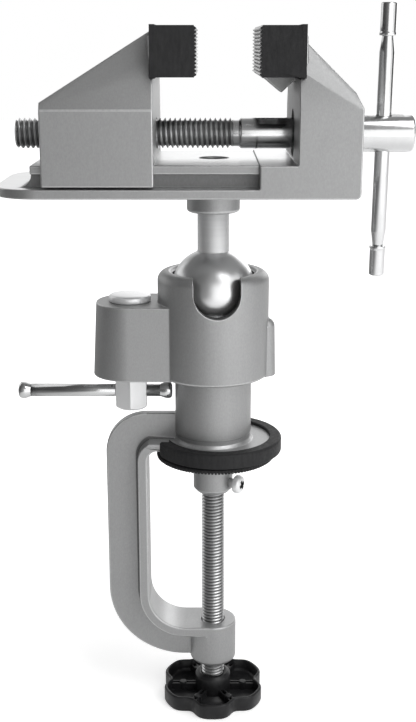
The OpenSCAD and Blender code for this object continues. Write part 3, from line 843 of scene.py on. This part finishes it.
# Rubber and plastic
def make_jaw_pad(node, body, face, out, mats):
    """Rubber cap of a jaw, ridged where it clamps; out is the way from its face to its back, along x."""
    low, high, ridges = 155.9, 174.3, 13
    flat, deep, margin = 0.95, 0.85, 0.35
    back, lip, end, lip_out = 15.0, 15.25, 17.2, 0.4
    step = (high - low - 2 * margin) / ridges
    outline = [(flat, low)]
    for i in range(ridges):
        base = low + margin + i * step
        outline += [(deep, base), (0.10, base + step * 0.30), (0.0, base + step * 0.45),
                    (0.10, base + step * 0.62)]
    outline += [(deep, high - margin), (flat, high), (back, high), (lip, high + 0.3), (end, high + 0.3),
                (end, low - lip_out), (lip, low - lip_out), (back, low)]
    bm = bmesh.new()
    rows = [[bm.verts.new((face + out * x, y, z)) for x, z in outline] for y in (-JAW_HALF, JAW_HALF)]
    n = len(outline)
    for i in range(n):
        bm.faces.new((rows[0][i], rows[0][(i + 1) % n], rows[1][(i + 1) % n], rows[1][i]))
    for row in rows:
        bm.faces.new(row)
    for v in bm.verts:
        if out * (v.co.x - face) > lip - 0.01:
            v.co.y += math.copysign(lip_out, v.co.y)
    piece = finish_piece(node + "_piece", bm, body, mats["rubber"], (node,))
    bevel(piece, 0.10)
    paint(piece, mats["ridges"], lambda c, n: abs(c.x - face) < 0.9 and abs(n.y) < 0.5)


def knob_radius(a, inset):
    """The knob's lobed outline: broad lobes with narrow valleys between them."""
    widest, dip, narrowing = 23.2, 3.5, 2.6
    valley = 0.5 - 0.5 * math.cos(KNOB_LOBES * (a - math.pi / KNOB_LOBES))
    return widest - dip * valley ** narrowing - inset


def make_knob(mats):
    """A dish with a lobed rim and a hub that the clamp's screw sits in."""
    rim, wall, bottom, steps = 7.0, 1.4, 1.8, 240
    turns = [TAU * i / steps for i in range(steps)]
    dish = ((0.9, 0.0), (0.25, 0.25), (0.0, 0.9), (0.0, rim - 0.7), (0.12, rim - 0.3), (0.45, rim),
            (wall - 0.35, rim), (wall, rim - 0.35), (wall + 0.1, 3.0), (wall + 0.6, 2.0),
            (wall + 1.4, bottom))
    hub_r = 7.9
    hub = [(hub_r, bottom), (8.0, 2.2), (8.0, 9.9), (7.7, 10.4), (7.0, 10.6), (6.9, 11.0), (6.5, 11.2),
           (5.3, 11.2), (5.15, 11.0), (5.15, 9.0)]
    levels = [([knob_radius(a, inset) for a in turns], h) for inset, h in dish]
    levels.append(([hub_r] * steps, bottom))
    bm = bmesh.new()
    rings = []
    for radii, h in levels:
        points = [(r * math.cos(a), r * math.sin(a), KNOB_BASE + h) for r, a in zip(radii, turns)]
        rings.append([bm.verts.new(p) for p in points])
    loft(bm, rings)
    bm.faces.new(rings[0])
    revolve(bm, hub, Matrix.Translation((0, 0, KNOB_BASE)), steps)
    bmesh.ops.remove_doubles(bm, verts=bm.verts, dist=0.002)
    finish_piece("clamp_knob_piece", bm, "clamp_spindle", mats["plastic"], ("clamp_knob",))


def make_knob_ribs(mats):
    """Pairs of ribs from the hub to each valley of the rim, with a round boss between them."""
    hub_r, rib_end, boss_x, boss_r, apart, thick = 7.5, 19.5, 13.6, 1.7, 1.0, 0.8
    low, rib_top, boss_top = KNOB_BASE + 1.7, KNOB_BASE + 5.0, KNOB_BASE + 5.6
    boss = [(0, low), (boss_r, low), (boss_r, boss_top - 0.3), (boss_r - 0.3, boss_top), (0, boss_top)]
    bm = bmesh.new()
    for i in range(KNOB_LOBES):
        spin = Matrix.Rotation(TAU * i / KNOB_LOBES, 4, "Z")
        for y in (-apart, apart):
            block(bm, (hub_r, y - thick / 2, low), (rib_end, y + thick / 2, rib_top), spin)
        revolve(bm, boss, spin @ Matrix.Translation((boss_x, 0, 0)), 32)
    ribs = finish_piece("clamp_knob_ribs", bm, "clamp_spindle", mats["plastic"],
                        smooth=False)
    bevel(ribs, 0.15)


def make_upper_pad(mats):
    """The rubber cup round the clamp's disc, open at the arm."""
    softened("upper_clamp_pad", "clamp", mats["rubber"], mats["rubber"], "rubber",
             dict(width=0.35, angle=35))


def make_foot_ring(mats):
    """The foot's rubber ring with a milled lower edge; it sits a little off centre, as in the photo."""
    teeth, notch_deep, notch_rise, shift = 110, 0.6, 0.8, 1.0
    notched_r, notched_z = 24, -2.2
    profile = [(0, -1.9), (22.05, -1.9), (22.1, -2.9), (22.3, -3.1), (24.7, -3.1), (25.2, -2.8),
               (25.3, -2.4), (25.3, -1.3), (25.15, -1.1), (24.3, -0.95), (24.2, -0.3), (0, -0.3)]
    bm = bmesh.new()
    revolve(bm, profile, UPRIGHT, 4 * teeth)
    for v in bm.verts:
        r = math.hypot(v.co.x, v.co.y)
        if r > notched_r and v.co.z < notched_z:
            a = math.atan2(v.co.y, v.co.x)
            notch = max(0.0, math.cos(a * teeth)) * notch_deep
            v.co.x *= (r - notch) / r
            v.co.y *= (r - notch) / r
            v.co.z += notch * notch_rise
    bmesh.ops.translate(bm, vec=(shift, 0, 0), verts=bm.verts)
    finish_piece("lower_clamp_pad_piece", bm, "foot", mats["rubber"], ("lower_clamp_pad",))


# Castings: which edges are rounded, and which faces differ
def by_post(p):
    """The small step and bead where the post stands on the clamp's disc."""
    return math.hypot(p.x, p.y) < 18 and 3 < p.z < 20


def off_post(p):
    """The rest of the clamp's frame."""
    return not by_post(p)


def rim_foot(p):
    """Where the frame's web meets the walls of its rim."""
    return 1.9 < abs(p.y) < 2.3 and math.hypot(p.x, p.y) > 20


def off_screw(p):
    """The jaws' edges that aren't in the screw's bore or its bosses."""
    return math.hypot(p.y, p.z - SCREW_Z) > 9.5


def off_neck_end(p):
    """The base's edges, but for the short ones where the rail's neck meets its flange at the end."""
    return off_screw(p) and not (p.x < -69 and 26.4 < abs(p.y) < 27.6 and p.z > 119)


def dress_frame(piece, mats):
    """The disc's top and the throat's floor get a painted reflection, lighter, and the groove by the rim
    painted shade, darker.
    """
    piece.data.materials.append(mats["top_sheen"])
    piece.data.materials.append(mats["groove"])
    edge, top_sheen, groove = 1, 2, 3
    for f in piece.data.polygons:
        c, n = f.center / MM, f.normal
        outward = n.dot(Vector((c.x, 0, c.z - THROAT_Z)).normalized())
        disc_top = n.z > 0.95 and 3 < c.z < 6
        throat_floor = n.z > 0.2 and -100 < c.z < -60 and outward < -0.1
        by_rim = 2.3 < abs(c.y) < 9.6 and 0.12 < abs(n.y) < 0.995 and math.hypot(c.x, c.y) > 20
        # Painted reflection on the disc's top and the throat's floor, painted shade in the groove by the
        # rim, and a painted highlight from the edge material on the post's bead.
        if disc_top or throat_floor:
            f.material_index = top_sheen
        elif by_rim and outward > 0.05:
            f.material_index = groove
        elif by_post(c) and 0.2 < n.z < 0.95:
            f.material_index = edge


def dress_sleeve(piece, mats):
    """Draft on the lug's round end, wider below and narrower above, and painted shade, nearly black, in the
    bore.
    """
    lug_low, lug_high, pocket_r = 33.6, 64.8, 11
    wider, narrower = 1.0, 0.7
    for v in piece.data.vertices:
        x, y, z = v.co / MM
        if x < LUG_X and math.hypot(x - LUG_X, y) > pocket_r:
            draft = wider - (wider + narrower) * (z - lug_low) / (lug_high - lug_low)
            v.co.x -= draft * (LUG_X - x) / LUG_R * MM
    bore_r, top = 21.6, 77
    # Painted shade, nearly black, inside the sleeve's bore.
    paint(piece, mats["bore"],
          lambda c, n: math.hypot(c.x, c.y) < bore_r and c.z < top and not (c.z > 76.2 and n.z > 0.3))


def dress_base(piece, mats):
    """The rail and the plate are milled on top and painted bright there as a reflection, and the rail's neck
    gets painted shade, darker.
    """
    neck_low, neck_high, jaw_x = 115.2, 120.4, 22
    # Painted reflection: the upward faces of the rail and the plate are made bright.
    paint(piece, mats["milled"], lambda c, n: n.z > 0.95 and c.z < 128)
    # Painted shade on the side faces of the rail's neck.
    paint(piece, mats["recess"],
          lambda c, n: abs(n.y) > 0.9 and neck_low < c.z < neck_high and c.x < jaw_x and abs(c.y) > 20)


def make_castings(mats):
    """The cast and turned pieces that keep their CAD shape, with rounded edges."""
    # The castings' rounded edges get the lighter edge material: wear and painted highlight.
    look = (mats["casting"], mats["edge"], "casting")
    frame_piece = softened("clamp_frame", "clamp", *look,
                           dict(width=1.8, pick=rim_foot, segments=4, angle=60, hollow=True),
                           dict(width=0.7, pick=off_post, angle=34),
                           dict(width=0.22, pick=by_post, segments=2, angle=34))
    dress_frame(frame_piece, mats)
    dress_sleeve(softened("ball_sleeve", "sleeve", *look, dict(width=0.45)), mats)
    dress_base(softened("vise_base", "head", *look, dict(width=0.55, pick=off_neck_end, angle=24)), mats)
    softened("moving_jaw", "jaw", *look, dict(width=0.6, pick=off_screw, angle=15))
    softened("lever_nut", "lock_nut", mats["zinc"], mats["zinc"], "chrome",
             dict(width=0.25, segments=2, angle=28))
    softened("pressure_disc", "foot", mats["casting"], mats["edge"], "chrome", dict(width=0.2, segments=2))


def colour_carried_over(mats):
    """CAD nodes that stay: the lock's inner parts, the jaw's nut, two washers and the ring."""
    looks = {
        "zinc": ("ball_cup", "ball_shoe", "post_shoe", "upper_wedge", "lower_wedge", "stem_washer",
                 "jaw_nut"),
        "chrome": ("screw_washer",),
        "steel": ("retaining_ring",),
    }
    for mat, carried in looks.items():
        for node in carried:
            nodes[node].data.materials.clear()
            nodes[node].data.materials.append(mats[mat])


make_camera()
make_world()
make_floor()
make_lights()
mats = make_materials()
make_main_screw(mats)
make_clamp_screw(mats)
make_jaw_pad("fixed_jaw_pad", "head", 16.6, 1, mats)
make_jaw_pad("moving_jaw_pad", "jaw", -6.4, -1, mats)
make_handle(mats)
make_lock_cap(mats)
make_lever(mats)
make_ball_stem(mats)
make_stem_bolt(mats)
make_disc_screw(mats)
make_knob(mats)
make_knob_ribs(mats)
make_upper_pad(mats)
make_foot_ring(mats)
make_castings(mats)
colour_carried_over(mats)
